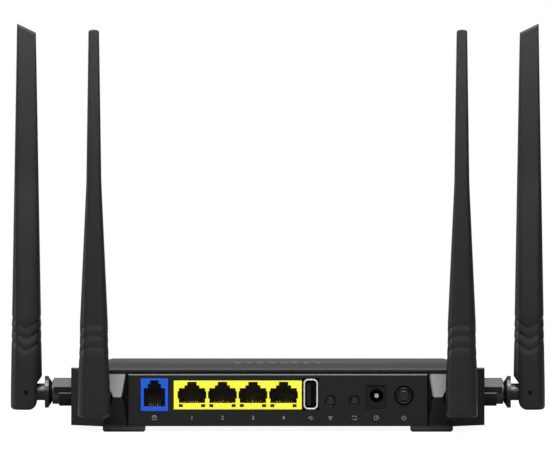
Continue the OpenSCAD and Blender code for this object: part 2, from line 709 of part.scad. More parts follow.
// Antenna lead from its joint on the board to the hollow spigot, in the antenna's own frame
function bezier(a, b, c, d, t) = a * pow(1 - t, 3) + 3 * b * t * pow(1 - t, 2) + 3 * c * t * t * (1 - t)
    + d * pow(t, 3);
module coax(place) color([0.12, 0.12, 0.13]) {
    depth = board_top_z - split_z + coax_d / 2 + 0.2;
    inward = -spigot_end;
    // Side leads run forwards to the board's edge, rear leads run to the middle of the case
    across = place == 0 ? 9 : place == 1 ? -9 : place == 2 ? 16 : -16;
    far = place < 2 ? -side_pivot_x + board_w / 2 - 8 : rear_pivot_y - 36;
    start = [far, place < 2 ? across : -abs(across) * sign(across) * 1.5, depth];
    end = [inward + coax_insert, 0, 0];
    path = concat([for (i = [0:9]) bezier(start, start + [0, 0, 5], [inward - 14, 0, 0],
        [inward - 2, 0, 0], i / 9)], [end]);
    loft(tube_rings(path, coax_d / 2));
}

// ---------- The nodes ----------

top_cover();
bottom_case();
rear_panel();
feet();
case_screws();
main_board();
board_screws();
dsl_jack();
dsl_contacts();
lan_jack();
lan_contacts();
usb_shell();
usb_tongue();
dc_jack();
dc_pin();
power_switch();
power_button();
small_switch(wlan_x);  // wlan_switch
small_button(wlan_x);  // wlan_button
small_switch(wps_x);  // wps_switch
small_button(wps_x);  // wps_button
status_leds();
light_guide();
processor();
heat_sink();
memory_chips();
radio_shield();
line_transformers();
capacitors();
inductors();
for (place = [0:3]) at_antenna(place) {
    blade();
    radiator();
    pivot_pin();
    swivel();
    bush();
    clip();
    coax(place);
}
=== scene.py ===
import json
import math

import bmesh
import bpy
import numpy as np
from mathutils import Matrix, Vector

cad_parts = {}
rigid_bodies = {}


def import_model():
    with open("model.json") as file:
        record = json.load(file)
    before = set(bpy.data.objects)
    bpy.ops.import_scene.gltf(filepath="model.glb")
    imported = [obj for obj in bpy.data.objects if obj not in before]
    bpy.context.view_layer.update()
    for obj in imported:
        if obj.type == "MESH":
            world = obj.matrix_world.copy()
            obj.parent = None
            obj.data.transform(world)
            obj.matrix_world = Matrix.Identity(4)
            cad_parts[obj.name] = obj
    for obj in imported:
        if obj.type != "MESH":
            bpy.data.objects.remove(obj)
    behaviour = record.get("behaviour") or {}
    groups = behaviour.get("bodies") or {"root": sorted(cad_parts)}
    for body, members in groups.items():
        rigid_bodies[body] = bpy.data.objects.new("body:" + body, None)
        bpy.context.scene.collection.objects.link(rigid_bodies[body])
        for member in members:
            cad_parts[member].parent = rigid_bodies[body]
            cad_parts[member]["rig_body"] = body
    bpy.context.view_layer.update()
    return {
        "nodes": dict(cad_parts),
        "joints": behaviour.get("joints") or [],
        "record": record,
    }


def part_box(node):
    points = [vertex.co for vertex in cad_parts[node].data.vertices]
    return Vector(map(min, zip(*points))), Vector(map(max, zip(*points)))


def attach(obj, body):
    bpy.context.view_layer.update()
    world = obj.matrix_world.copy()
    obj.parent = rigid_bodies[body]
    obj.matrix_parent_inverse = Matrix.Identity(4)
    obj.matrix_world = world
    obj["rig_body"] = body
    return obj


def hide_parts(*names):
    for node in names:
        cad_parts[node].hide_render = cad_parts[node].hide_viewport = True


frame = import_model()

MM = 0.001
scene = bpy.context.scene
nodes = frame["nodes"]
PLACES = ["side_right", "side_left", "rear_right", "rear_left"]
joints = {joint["name"]: joint for joint in frame["joints"]}
panel_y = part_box("lan_jack")[0].y


def body_of_node(name):
    """The CAD body that a node belongs to."""
    return nodes[name]["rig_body"]


# ---------- Materials ----------

def set_socket(shader, name, value):
    shader.inputs[name].default_value = value


def finish_material(name, colour, roughness, metallic=0.0, specular=0.5, mottle=0.12,
                    grain_size=0.4, grain_depth=0.0, coat=0.0, streaks=None, socket_shade_colour=None):
    """A moulded, plated or painted finish: mottled colour, uneven gloss and a fine surface grain.

    Sizes are in millimetres. streaks stretches the grain along one axis, as on brushed metal. The last
    argument is painted shade: a dark colour that takes over behind the panel, inside a socket."""
    material = bpy.data.materials.new(name)
    material.use_nodes = True
    tree = material.node_tree
    shader = tree.nodes["Principled BSDF"]
    set_socket(shader, "Metallic", metallic)
    set_socket(shader, "Specular IOR Level", specular)
    set_socket(shader, "Coat Weight", coat)
    set_socket(shader, "Coat Roughness", 0.12)
    coordinates = tree.nodes.new("ShaderNodeTexCoord")
    mapping = tree.nodes.new("ShaderNodeMapping")
    if streaks:
        mapping.inputs["Scale"].default_value = streaks
    tree.links.new(coordinates.outputs["Object"], mapping.inputs["Vector"])

    patches = noise(tree, mapping, 1 / (14 * MM), 4)
    grain = noise(tree, mapping, 1 / (grain_size * MM), 3)

    ramp = tree.nodes.new("ShaderNodeValToRGB")
    dark = [channel * (1 - mottle) for channel in colour]
    light = [min(1.0, channel * (1 + mottle)) for channel in colour]
    ramp.color_ramp.elements[0].position = 0.32
    ramp.color_ramp.elements[0].color = (*dark, 1)
    ramp.color_ramp.elements[1].position = 0.68
    ramp.color_ramp.elements[1].color = (*light, 1)
    tree.links.new(patches.outputs["Fac"], ramp.inputs["Fac"])
    tree.links.new(ramp.outputs["Color"], shader.inputs["Base Color"])
    # Painted shade: inside a socket the colour darkens behind the panel front.
    if socket_shade_colour:
        paint_shade_inside(tree, coordinates, ramp, socket_shade_colour)

    gloss = tree.nodes.new("ShaderNodeMapRange")
    gloss.inputs["To Min"].default_value = roughness - 0.05
    gloss.inputs["To Max"].default_value = roughness + 0.05
    tree.links.new(grain.outputs["Fac"], gloss.inputs["Value"])
    tree.links.new(gloss.outputs["Result"], shader.inputs["Roughness"])
    if grain_depth:
        bump = tree.nodes.new("ShaderNodeBump")
        bump.inputs["Strength"].default_value = 0.6
        bump.inputs["Distance"].default_value = grain_depth * MM
        tree.links.new(grain.outputs["Fac"], bump.inputs["Height"])
        tree.links.new(bump.outputs["Normal"], shader.inputs["Normal"])
    return material


def paint_shade_inside(tree, coordinates, surface, socket_shade_colour):
    """Paints shade into a socket: fades its colour to a dark shade colour over the first millimetre behind
    its front.
    """
    split, fade = tree.nodes.new("ShaderNodeSeparateXYZ"), tree.nodes.new("ShaderNodeMapRange")
    mix = tree.nodes.new("ShaderNodeMix")
    mix.data_type = "RGBA"
    tree.links.new(coordinates.outputs["Object"], split.inputs["Vector"])
    tree.links.new(split.outputs["Y"], fade.inputs["Value"])
    set_socket(fade, "From Min", panel_y + 0.1 * MM)
    set_socket(fade, "From Max", panel_y + 1.1 * MM)
    colours = [socket for socket in mix.inputs if socket.type == "RGBA"]
    colours[1].default_value = (*socket_shade_colour, 1)
    tree.links.new(fade.outputs["Result"], mix.inputs["Factor"])
    tree.links.new(surface.outputs["Color"], colours[0])
    result = [socket for socket in mix.outputs if socket.type == "RGBA"][0]
    tree.links.new(result, tree.nodes["Principled BSDF"].inputs["Base Color"])


def noise(tree, mapping, scale, detail):
    node = tree.nodes.new("ShaderNodeTexNoise")
    node.inputs["Scale"].default_value = scale
    node.inputs["Detail"].default_value = detail
    tree.links.new(mapping.outputs["Vector"], node.inputs["Vector"])
    return node


def make_materials():
    """Every finish on the router, by the name of its slot in the record."""
    return {
        "case_plastic": finish_material("case_plastic", (0.0019, 0.0019, 0.0020), 0.33, specular=0.27,
                                        grain_size=0.35, grain_depth=0.012),
        "panel_plastic": finish_material("panel_plastic", (0.0036, 0.0036, 0.0038), 0.36, specular=0.24,
                                         grain_size=0.3, grain_depth=0.008),
        "blade_plastic": finish_material("blade_plastic", (0.0036, 0.0036, 0.0038), 0.35, specular=0.34,
                                         grain_size=0.4, grain_depth=0.01),
        "swivel_plastic": finish_material("swivel_plastic", (0.0050, 0.0050, 0.0052), 0.32, specular=0.4,
                                          grain_size=0.3, grain_depth=0.006),
        "bush_plastic": finish_material("bush_plastic", (0.016, 0.016, 0.017), 0.45, grain_depth=0.006),
        "button_plastic": finish_material("button_plastic", (0.0045, 0.0045, 0.0046), 0.34, specular=0.32,
                                          grain_size=0.25, grain_depth=0.008),
        "socket_plastic": finish_material("socket_plastic", (0.0022, 0.0022, 0.0022), 0.5, specular=0.15,
                                          grain_depth=0.006),
        "foot_rubber": finish_material("foot_rubber", (0.010, 0.010, 0.010), 0.75, specular=0.3,
                                       grain_size=0.5, grain_depth=0.02),
        # The dark colours given last to the yellow, blue and shell finishes below are painted shade inside
        # the sockets.
        "yellow_plastic": finish_material("yellow_plastic", (0.52, 0.51, 0.034), 0.38, mottle=0.03,
                                          grain_size=0.3, grain_depth=0.006,
                                          socket_shade_colour=(0.040, 0.030, 0.010), specular=0.2),
        "blue_plastic": finish_material("blue_plastic", (0.005, 0.052, 0.35), 0.38, mottle=0.05,
                                        grain_size=0.3, grain_depth=0.006,
                                        socket_shade_colour=(0.002, 0.006, 0.02), specular=0.25),
        "contact_gold": finish_material("contact_gold", (0.78, 0.56, 0.22), 0.28, metallic=1.0,
                                        mottle=0.08),
        "contact_nickel": finish_material("contact_nickel", (0.42, 0.41, 0.40), 0.42, metallic=1.0,
                                          mottle=0.06),
        "shell_steel": finish_material("shell_steel", (0.80, 0.80, 0.80), 0.30, metallic=0.66,
                                       mottle=0.06, streaks=(1, 12, 1), grain_depth=0.004,
                                       socket_shade_colour=(0.006, 0.006, 0.006)),
        "screw_steel": finish_material("screw_steel", (0.62, 0.62, 0.64), 0.34, metallic=1.0,
                                       mottle=0.08, grain_depth=0.004),
        # Near-black and barely shiny: partly a blackened pin, partly painted shade standing for the dark hole
        # it sits in.
        "pin_black_and_hole_shade": finish_material("pin_black_and_hole_shade", (0.003, 0.003, 0.003), 0.6, specular=0.08),
        "sink_aluminium": finish_material("sink_aluminium", (0.60, 0.61, 0.63), 0.40, metallic=1.0,
                                          streaks=(1, 14, 1), grain_depth=0.005),
        "can_aluminium": finish_material("can_aluminium", (0.10, 0.11, 0.14), 0.4, mottle=0.1),
        "board_laminate": finish_material("board_laminate", (0.015, 0.12, 0.05), 0.35, coat=0.4,
                                          mottle=0.2),
        "chip_plastic": finish_material("chip_plastic", (0.012, 0.012, 0.013), 0.55, grain_depth=0.008),
        "led_lens": finish_material("led_lens", (0.50, 0.80, 0.48), 0.25, coat=0.5, mottle=0.04),
        "clear_plastic": finish_material("clear_plastic", (0.20, 0.21, 0.22), 0.3, coat=0.3,
                                         mottle=0.05),
        "lead_jacket": finish_material("lead_jacket", (0.012, 0.012, 0.012), 0.45, grain_depth=0.006),
        "label_ink": finish_material("label_ink", (0.13, 0.13, 0.135), 0.6, mottle=0.25,
                                     grain_size=0.2),
    }


# ---------- Mesh helpers ----------

def link(name, mesh):
    piece = bpy.data.objects.new(name, mesh)
    scene.collection.objects.link(piece)
    return piece


def bake(piece):
    """Replaces a piece's mesh with what its modifiers make, and takes the modifiers off."""
    graph = bpy.context.evaluated_depsgraph_get()
    mesh = bpy.data.meshes.new_from_object(piece.evaluated_get(graph), depsgraph=graph)
    piece.modifiers.clear()
    piece.data = mesh
    return piece


def shade_by_angle(mesh, degrees=35):
    """Smooth shading that breaks at edges sharper than the angle."""
    work = bmesh.new()
    work.from_mesh(mesh)
    for face in work.faces:
        face.smooth = True
    for edge in work.edges:
        edge.smooth = edge.is_manifold and edge.calc_face_angle(0) < math.radians(degrees)
    work.to_mesh(mesh)
    work.free()


def add_bevel(piece, width, segments=2, degrees=28):
    bevel = piece.modifiers.new("edges", "BEVEL")
    bevel.width = width * MM
    bevel.segments = segments
    bevel.limit_method = "ANGLE"
    bevel.angle_limit = math.radians(degrees)
    bevel.miter_outer = "MITER_ARC"
    bevel.use_clamp_overlap = True


def join_flat_faces(mesh):
    """Merges a CAD mesh's loose triangles and pairs them into four-sided faces where they lie flat."""
    work = bmesh.new()
    work.from_mesh(mesh)
    bmesh.ops.remove_doubles(work, verts=work.verts, dist=2e-7)
    bmesh.ops.join_triangles(work, faces=work.faces, angle_face_threshold=math.radians(0.5),
                             angle_shape_threshold=math.radians(180))
    work.to_mesh(mesh)
    work.free()


def weigh_normals(piece):
    """Keeps large flat faces flat beside their rounded edges."""
    weigh = piece.modifiers.new("normals", "WEIGHTED_NORMAL")
    weigh.keep_sharp = True
    bake(piece)


def chamfer(mesh, chosen, width):
    """Cuts a flat chamfer along the edges that satisfy chosen(their two ends in millimetres)."""
    work = bmesh.new()
    work.from_mesh(mesh)
    edges = [edge for edge in work.edges if edge.calc_face_angle(0) > 0.6
             and chosen([vert.co / MM for vert in edge.verts])]
    bmesh.ops.bevel(work, geom=edges, offset=width * MM, segments=1, affect="EDGES")
    work.to_mesh(mesh)
    work.free()


def step_out_collars(mesh):
    """Sets the bottom tray's side collars a little proud of the top cover's, with a chamfered ledge."""
    pivot = Vector(joints["side_right_turn"]["pos_m"]) / MM
    flat, step, case_side_x = 6.3, 0.4, 94.5

    def on_flat(p, reach):
        return abs(p.x) > case_side_x and abs(abs(p.y - pivot.y) - reach) < 0.06 and p.z < pivot.z + 0.05

    for vert in mesh.vertices:
        point = vert.co / MM
        if on_flat(point, flat):
            vert.co.y += math.copysign(step, point.y - pivot.y) * MM
    chamfer(mesh, lambda ends: all(on_flat(p, flat + step) and abs(p.z - pivot.z) < 0.05 for p in ends),
            step - 0.03)


def chamfer_fins(mesh):
    """Takes the edge off each fin beside the port panel, along the side that faces the panel."""
    ridge_x, ridge_y, near = 71.15, -60.8, 0.1
    panel_side_x, wall_y = 60, -54

    def along_ridge(ends):
        return (all(panel_side_x < abs(p.x) < ridge_x + near and p.y < wall_y for p in ends)
                and any(abs(p.y - ridge_y) < near and abs(abs(p.x) - ridge_x) < near for p in ends))

    chamfer(mesh, along_ridge, 0.5)


def dress(name, slot, bevel=0.0):
    """A CAD node's finished piece: a copy with softened edges, or the node itself where it is hidden."""
    if not bevel:
        node = nodes[name]
        node.data.materials.clear()
        node.data.materials.append(materials[slot])
        return node
    mesh = nodes[name].data.copy()
    mesh.materials.clear()
    join_flat_faces(mesh)
    if name == "bottom_case":
        step_out_collars(mesh)
    if name in ("bottom_case", "top_cover"):
        chamfer_fins(mesh)
    piece = link(name + "_shell", mesh)
    add_bevel(piece, bevel)
    bake(piece)
    shade_by_angle(piece.data)
    weigh_normals(piece)
    return place(piece, slot, name)


def place(piece, slot, *replaced):
    """Gives a finished piece its material, its body and the CAD nodes it stands for."""
    piece.data.materials.clear()
    piece.data.materials.append(materials[slot])
    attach(piece, body_of_node(replaced[0]))
    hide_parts(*replaced)
    return piece


# ---------- Antenna blades ----------

# Sizes in millimetres, from the pivot: length, lowest point, outer and inner edge, and where the neck begins
BLADE_L = 169.2
BLADE_LOW = -8.0
OUTER, INNER = 7.05, 7.55
NECK_START = 5.1
TIP_SLOPE = 0.49
RING_SIDES = 96
GROOVE_LOWS = (29.9, 25.0, 19.8)
GROOVE_DEPTH = 0.2
GROOVE_RISE = 3.9
GROOVE_ARCH = 1.1


def blade_half_sizes(z):
    """Middle, half width and half thickness of the blade at a height above its pivot, in millimetres."""
    share = max(0.0, z) / BLADE_L
    outer, inner = OUTER - 3.05 * share, INNER - 2.95 * share
    thick = np.interp(z, [-8.5, 8, 26, 35, 99, BLADE_L], [7.35, 7.25, 6.5, 6.4, 3.45, 2.4])
    return (outer - inner) / 2, (outer + inner) / 2, float(thick)


def groove_offset(z, across, through):
    """How far the wavy grooves sink the surface: sharply above and gently below.

    They dip to a V on the wide faces and arch on the narrow ones."""
    depth = 0.0
    for low in GROOVE_LOWS:
        away = z - (low + GROOVE_RISE * abs(across) + GROOVE_ARCH * (1 - through ** 2))
        depth += math.exp(-(away / (0.28 if away > 0 else 2.1)) ** 2)
    return GROOVE_DEPTH * depth


def blade_ring(z, slope=0.0, shrink=1.0, inset=0.0, arch=0.0):
    """One closed ring of the blade. slope tilts it, and arch lifts its middle."""
    middle, half_w, half_t = blade_half_sizes(z)
    squareness = float(np.interp(z, [40, BLADE_L - 4], [0.0, 0.36]))
    ring = []
    for i in range(RING_SIDES):
        turn = 2 * math.pi * i / RING_SIDES
        across = math.copysign(abs(math.cos(turn)) ** (0.56 - squareness), math.cos(turn))
        through = math.copysign(abs(math.sin(turn)) ** (0.64 - squareness), math.sin(turn))
        sunk = groove_offset(z, across, through) + inset
        u = middle + across * (half_w - sunk) * shrink
        v = through * (half_t - sunk) * shrink
        ring.append((u, v, z + slope * u + arch * (1 - (v / half_t) ** 2)))
    return ring


def blade_rings():
    """Rings up the blade, closest together at the grooves: rounded below, slanted and arched at the tip."""
    rounding, slant_start, tip, tip_arch = 1.6, 148, BLADE_L - 2.3, 0.5
    rings = []
    for step in range(6):
        turn = step / 5 * math.pi / 2
        rings.append(blade_ring(BLADE_LOW + rounding * (1 - math.cos(turn)),
                                inset=rounding * (1 - math.sin(turn))))
    heights = [0, 8, 13] + list(np.arange(17, 38.5, 0.25)) + list(np.arange(40, slant_start, 4.0))
    rings += [blade_ring(float(z)) for z in heights]
    for share in (0.15, 0.3, 0.45, 0.6, 0.75, 0.9, 0.975, 1.0):
        rings.append(blade_ring(slant_start + (tip - 0.3 - slant_start) * share, TIP_SLOPE * share,
                                arch=tip_arch * share))
    rings.append(blade_ring(tip - 0.1, TIP_SLOPE, inset=0.06, arch=tip_arch))
    for shrink in (0.95, 0.8, 0.6, 0.35, 0.1):
        rings.append(blade_ring(tip, TIP_SLOPE, shrink, arch=tip_arch))
    return rings


def loft(name, rings):
    """A closed mesh through equal rings of points, in millimetres."""
    sides = len(rings[0])
    points = [Vector(p) * MM for ring in rings for p in ring]
    faces = [tuple(reversed(range(sides)))]
    for r in range(len(rings) - 1):
        for i in range(sides):
            j = (i + 1) % sides
            faces.append((r * sides + i, r * sides + j, (r + 1) * sides + j, (r + 1) * sides + i))
    faces.append(tuple((len(rings) - 1) * sides + i for i in range(sides)))
    mesh = bpy.data.meshes.new(name)
    mesh.from_pydata(points, [], faces)
    mesh.validate()
    return link(name, mesh)


def prism(name, outline, low, high):
    """A block with the given outline in X and Z, between two Y values, in millimetres."""
    return loft(name, [[(x, y, z) for x, z in outline] for y in (high, low)])


def cut(piece, tool, operation):
    change = piece.modifiers.new("cut", "BOOLEAN")
    change.operation = operation
    change.solver = "EXACT"
    change.object = tool
    bake(piece)
    bpy.data.objects.remove(tool)


def knuckle_outline():
    """Side view that the blade is trimmed to: chamfered above the neck and rounded below it."""
    radius, beyond = 4.15, 400
    chamfer_run, chamfer_top, chamfer_low = 5, 11.05, 4.35
    corner = (radius - NECK_START, BLADE_LOW + radius)
    points = [(-NECK_START - chamfer_run, beyond), (-NECK_START - chamfer_run, chamfer_top),
              (-NECK_START, chamfer_low)]
    for i in range(13):
        turn = math.pi + i / 12 * math.pi / 2
        points.append((corner[0] + radius * math.cos(turn), corner[1] + radius * math.sin(turn)))
    points += [(OUTER + 1, BLADE_LOW), (OUTER + 1, beyond)]
    return points


def make_blade():
    """One blade in its own frame: pivot at the origin, +X away from the case."""
    slot_reach, slot_half, pin_radius, beyond = 4.5, 4.2, 1.0, 20
    blade = loft("blade_form", blade_rings())
    cut(blade, prism("outline", knuckle_outline(), -beyond, beyond), "INTERSECT")
    neck_slot = [(-beyond, -beyond), (slot_reach, -beyond), (slot_reach, slot_reach), (-beyond, slot_reach)]
    cut(blade, prism("slot", neck_slot, -slot_half, slot_half), "DIFFERENCE")
    hole = [(pin_radius * math.cos(t), pin_radius * math.sin(t))
            for t in np.linspace(0, 2 * math.pi, 32, endpoint=False)]
    cut(blade, prism("hole", hole, -12, 12), "DIFFERENCE")
    add_bevel(blade, 0.25, 2, 50)
    bake(blade)
    return blade


def antenna_matrix(name):
    """From an antenna's own frame to the router's."""
    pivot = Vector(joints[name + "_turn"]["pos_m"])
    turn = {"side_right": 0, "side_left": math.pi}.get(name, -math.pi / 2)
    return Matrix.Translation(pivot) @ Matrix.Rotation(turn, 4, "Z")


def add_blades():
    pattern = make_blade()
    for name in PLACES:
        mesh = pattern.data.copy()
        mesh.transform(antenna_matrix(name))
        piece = link(name + "_paddle", mesh)
        shade_by_angle(mesh, 25)
        weigh_normals(piece)
        place(piece, "blade_plastic", name + "_blade")
    bpy.data.objects.remove(pattern)


# ---------- Repeating pieces ----------

def wire_row_tree():
    """Node tree that sets bent round wires side by side, with inputs for their number, pitch and radius."""
    tree = bpy.data.node_groups.new("wire_row", "GeometryNodeTree")
    for name, kind in (("Path", "NodeSocketGeometry"), ("Count", "NodeSocketInt"),
                       ("Pitch", "NodeSocketFloat"), ("Radius", "NodeSocketFloat"),
                       ("Material", "NodeSocketMaterial")):
        tree.interface.new_socket(name=name, in_out="INPUT", socket_type=kind)
    tree.interface.new_socket(name="Wires", in_out="OUTPUT", socket_type="NodeSocketGeometry")
    new = tree.nodes.new
    given, result = new("NodeGroupInput"), new("NodeGroupOutput")
    to_curve, rounded = new("GeometryNodeMeshToCurve"), new("GeometryNodeFilletCurve")
    profile, tube = new("GeometryNodeCurvePrimitiveCircle"), new("GeometryNodeCurveToMesh")
    row, gap = new("GeometryNodeMeshLine"), new("ShaderNodeCombineXYZ")
    spread = new("GeometryNodeInstanceOnPoints")
    real, finish = new("GeometryNodeRealizeInstances"), new("GeometryNodeSetMaterial")
    profile.inputs["Resolution"].default_value = 10
    rounded.mode = "POLY"
    rounded.inputs["Count"].default_value = 3
    rounded.inputs["Radius"].default_value = 0.5 * MM
    tube.inputs["Fill Caps"].default_value = True
    join = tree.links.new
    join(given.outputs["Path"], to_curve.inputs["Mesh"])
    join(to_curve.outputs["Curve"], rounded.inputs["Curve"])
    join(rounded.outputs["Curve"], tube.inputs["Curve"])
    join(given.outputs["Radius"], profile.inputs["Radius"])
    join(profile.outputs["Curve"], tube.inputs["Profile Curve"])
    join(given.outputs["Count"], row.inputs["Count"])
    join(given.outputs["Pitch"], gap.inputs["X"])
    join(gap.outputs["Vector"], row.inputs["Offset"])
    join(row.outputs["Mesh"], spread.inputs["Points"])
    join(tube.outputs["Mesh"], spread.inputs["Instance"])
    join(spread.outputs["Instances"], real.inputs["Geometry"])
    join(real.outputs["Geometry"], finish.inputs["Geometry"])
    join(given.outputs["Material"], finish.inputs["Material"])
    join(finish.outputs["Geometry"], result.inputs["Wires"])
    return tree


def wire_row(name, tree, path, count, pitch, radius, slot):
    """One row of contact wires along X. Path points are in millimetres, for the wire furthest to the left."""
    mesh = bpy.data.meshes.new(name)
    mesh.from_pydata([Vector(p) * MM for p in path], [(i, i + 1) for i in range(len(path) - 1)], [])
    piece = link(name, mesh)
    modifier = piece.modifiers.new("row", "NODES")
    modifier.node_group = tree
    sockets = {item.name: item.identifier for item in tree.interface.items_tree if item.in_out == "INPUT"}
    modifier[sockets["Count"]] = count
    modifier[sockets["Pitch"]] = pitch * MM
    modifier[sockets["Radius"]] = radius * MM
    modifier[sockets["Material"]] = materials[slot]
    return bake(piece)


def merge(name, pieces):
    """Joins baked pieces into one mesh."""
    work = bmesh.new()
    for piece in pieces:
        work.from_mesh(piece.data)
        bpy.data.objects.remove(piece)
    mesh = bpy.data.meshes.new(name)
    bmesh.ops.recalc_face_normals(work, faces=work.faces)
    work.to_mesh(mesh)
    work.free()
    for face in mesh.polygons:
        face.use_smooth = True
    return link(name, mesh)


def add_contacts():
    """Sprung gold wires in the telephone and network sockets."""
    tree = wire_row_tree()
    pitch, radius, end = 1.02, 0.17, 0.2
    for name, count, jack in (("dsl", 6, "dsl_jack"), ("lan", 8, "lan_jack")):
        low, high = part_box(name + "_contacts")
        low, high = low / MM, high / MM
        sockets = 1 if name == "dsl" else 4
        socket_pitch = 0 if sockets == 1 else ((high.x - low.x) - 7 * pitch - 2 * end) / (sockets - 1)
        rows = []
        for i in range(sockets):
            x = low.x + end + i * socket_pitch
            path = [(x, high.y - 0.3, high.z - 0.2), (x, low.y + 0.9, low.z + 0.5),
                    (x, low.y + 0.3, low.z + 0.22), (x, high.y - 2, low.z + 0.2)]
            rows.append(wire_row(f"{name}_wires_{i}", tree, path, count, pitch, radius, "contact_gold"))
        place(merge(name + "_wires", rows), "contact_gold", name + "_contacts")


# ---------- Ports and buttons ----------

def rounded_ring(centre, width, height, radius, y, steps=8):
    """A rounded rectangle in the X-Z plane, in millimetres."""
    ring = []
    for corner, (sx, sz) in enumerate(((1, 1), (-1, 1), (-1, -1), (1, -1))):
        for i in range(steps + 1):
            turn = math.radians(90 * corner + 90 * i / steps)
            ring.append((centre.x + sx * (width / 2 - radius) + radius * math.cos(turn), y,
                         centre.z + sz * (height / 2 - radius) + radius * math.sin(turn)))
    return ring


def outward(piece):
    """Turns every face outward."""
    work = bmesh.new()
    work.from_mesh(piece.data)
    bmesh.ops.recalc_face_normals(work, faces=work.faces)
    work.to_mesh(piece.data)
    work.free()
    return piece


def add_usb_shell():
    """The folded steel shell: a rounded tube with a rolled rim, on a foot that stands on the board."""
    low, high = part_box("usb_shell")
    low, high = low / MM, high / MM
    tongue_low, tongue_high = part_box("usb_tongue")
    centre = Vector(((low.x + high.x) / 2, 0, (tongue_low.z + tongue_high.z) / 2 / MM))
    width, height = high.x - low.x, 2 * (high.z - centre.z)
    tube_w, tube_h, wall = width - 1.37, height - 1.4, 0.4
    front, back = low.y, high.y
    bore_w, bore_h = tube_w - 2 * wall, tube_h - 2 * wall
    steps = [(tube_w, tube_h, 1.5, back), (tube_w, tube_h, 1.5, front + 0.5),
             (width - 0.3, height - 0.3, 2.2, front + 0.5), (width - 0.4, height - 0.4, 2.2, front + 0.35),
             (width - 0.9, height - 0.9, 2.0, front), (width - 1.5, height - 1.5, 1.7, front),
             (bore_w + 0.2, bore_h + 0.2, 1.3, front + 0.5), (bore_w, bore_h, 1.2, front + 0.9),
             (bore_w, bore_h, 1.2, back - wall)]
    tube = outward(loft("usb_tube", [rounded_ring(centre, w, h, r, y) for w, h, r, y in steps]))
    foot_top = centre.z - tube_h / 2 + 0.1
    foot_centre = Vector((centre.x, 0, (low.z + foot_top) / 2))
    foot = outward(loft("usb_foot", [rounded_ring(foot_centre, tube_w - 1.6, foot_top - low.z, 0.2, y)
                                     for y in (front + 3.0, back - 1)]))
    piece = merge("usb_shell_tube", [tube, foot])
    shade_by_angle(piece.data)
    place(piece, "shell_steel", "usb_shell")


def turned(name, profile, centre, sides=72):
    """A round piece about the Y axis from (radius, y) pairs, front to back, in millimetres."""
    rings = [[(centre.x + r * math.cos(t), y, centre.z + r * math.sin(t))
              for t in np.linspace(0, 2 * math.pi, sides, endpoint=False)] for r, y in profile]
    return outward(loft(name, rings))


def add_buttons():
    """Round push buttons: a dished cap inside a thin rim, on a flange and a stem."""
    for name in ("wlan_button", "wps_button", "power_button"):
        low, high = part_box(name)
        low, high = low / MM, high / MM
        centre = (low + high) / 2
        flange = (high.x - low.x) / 2
        big = name == "power_button"
        radius = flange - (0.8 if big else 0.9)
        front, back, seat = low.y, high.y, panel_y / MM + 2.65
        cap = front + (0.25 if big else 0.1)
        moat = front + (1.1 if big else 0.95)
        stem = 1.7 if big else 1.45
        profile = [(0.02, cap + 0.12), (0.35 * radius, cap + 0.08), (0.56 * radius, cap),
                   (0.60 * radius, cap + 0.08), (0.64 * radius, moat), (0.80 * radius, moat),
                   (0.90 * radius, front + 0.3), (0.93 * radius, front + 0.04), (0.97 * radius, front),
                   (radius, front + 0.12), (radius, seat), (flange, seat), (flange, seat + 0.75),
                   (stem, seat + 0.75), (stem, back), (0.02, back)]
        piece = turned(name + "_cap", profile, centre)
        shade_by_angle(piece.data)
        place(piece, "button_plastic", name)


# ---------- Labels ----------

def text_mesh(name, body, size, at):
    """A printed character, standing a few hundredths of a millimetre off the panel."""
    curve = bpy.data.curves.new(name, "FONT")
    curve.body = body
    curve.size = size * MM
    curve.extrude = 0.015 * MM
    curve.align_x = curve.align_y = "CENTER"
    curve.resolution_u = 6
    label = bpy.data.objects.new(name, curve)
    scene.collection.objects.link(label)
    graph = bpy.context.evaluated_depsgraph_get()
    mesh = bpy.data.meshes.new_from_object(label.evaluated_get(graph), depsgraph=graph)
    bpy.data.objects.remove(label)
    mesh.transform(Matrix.Translation(at) @ Matrix.Rotation(math.pi / 2, 4, "X"))
    return link(name, mesh)


def stroke(name, points, width, at, closed=False):
    """A printed line of even width through points (X, Z) in millimetres, as a thin solid."""
    count = len(points)
    ring_low, ring_high = [], []
    for i, point in enumerate(points):
        before = points[i - 1] if i or closed else point
        after = points[(i + 1) % count] if i < count - 1 or closed else point
        along = Vector((after[0] - before[0], after[1] - before[1])).normalized()
        side = Vector((-along.y, along.x)) * width / 2
        ring_low.append((point[0] - side.x, point[1] - side.y))
        ring_high.append((point[0] + side.x, point[1] + side.y))
    thick = 0.03
    rings = [[(a[0], 0, a[1]), (b[0], 0, b[1]), (b[0], -thick, b[1]), (a[0], -thick, a[1])]
             for a, b in zip(ring_low, ring_high)]
    if closed:
        rings.append(rings[0])
    piece = loft(name, rings)
    if closed:
        work = bmesh.new()
        work.from_mesh(piece.data)
        caps = [face for face in work.faces if {v.index for v in face.verts} in
                ({0, 1, 2, 3}, set(range(4 * count, 4 * count + 4)))]
        bmesh.ops.delete(work, geom=caps, context="FACES_ONLY")
        bmesh.ops.remove_doubles(work, verts=work.verts, dist=1e-8)
        work.to_mesh(piece.data)
        work.free()
    piece.data.transform(Matrix.Translation(at))
    return piece


def arc(centre, radius, start, end, steps=14):
    return [(centre[0] + radius * math.cos(math.radians(start + (end - start) * i / steps)),
             centre[1] + radius * math.sin(math.radians(start + (end - start) * i / steps)))
            for i in range(steps + 1)]


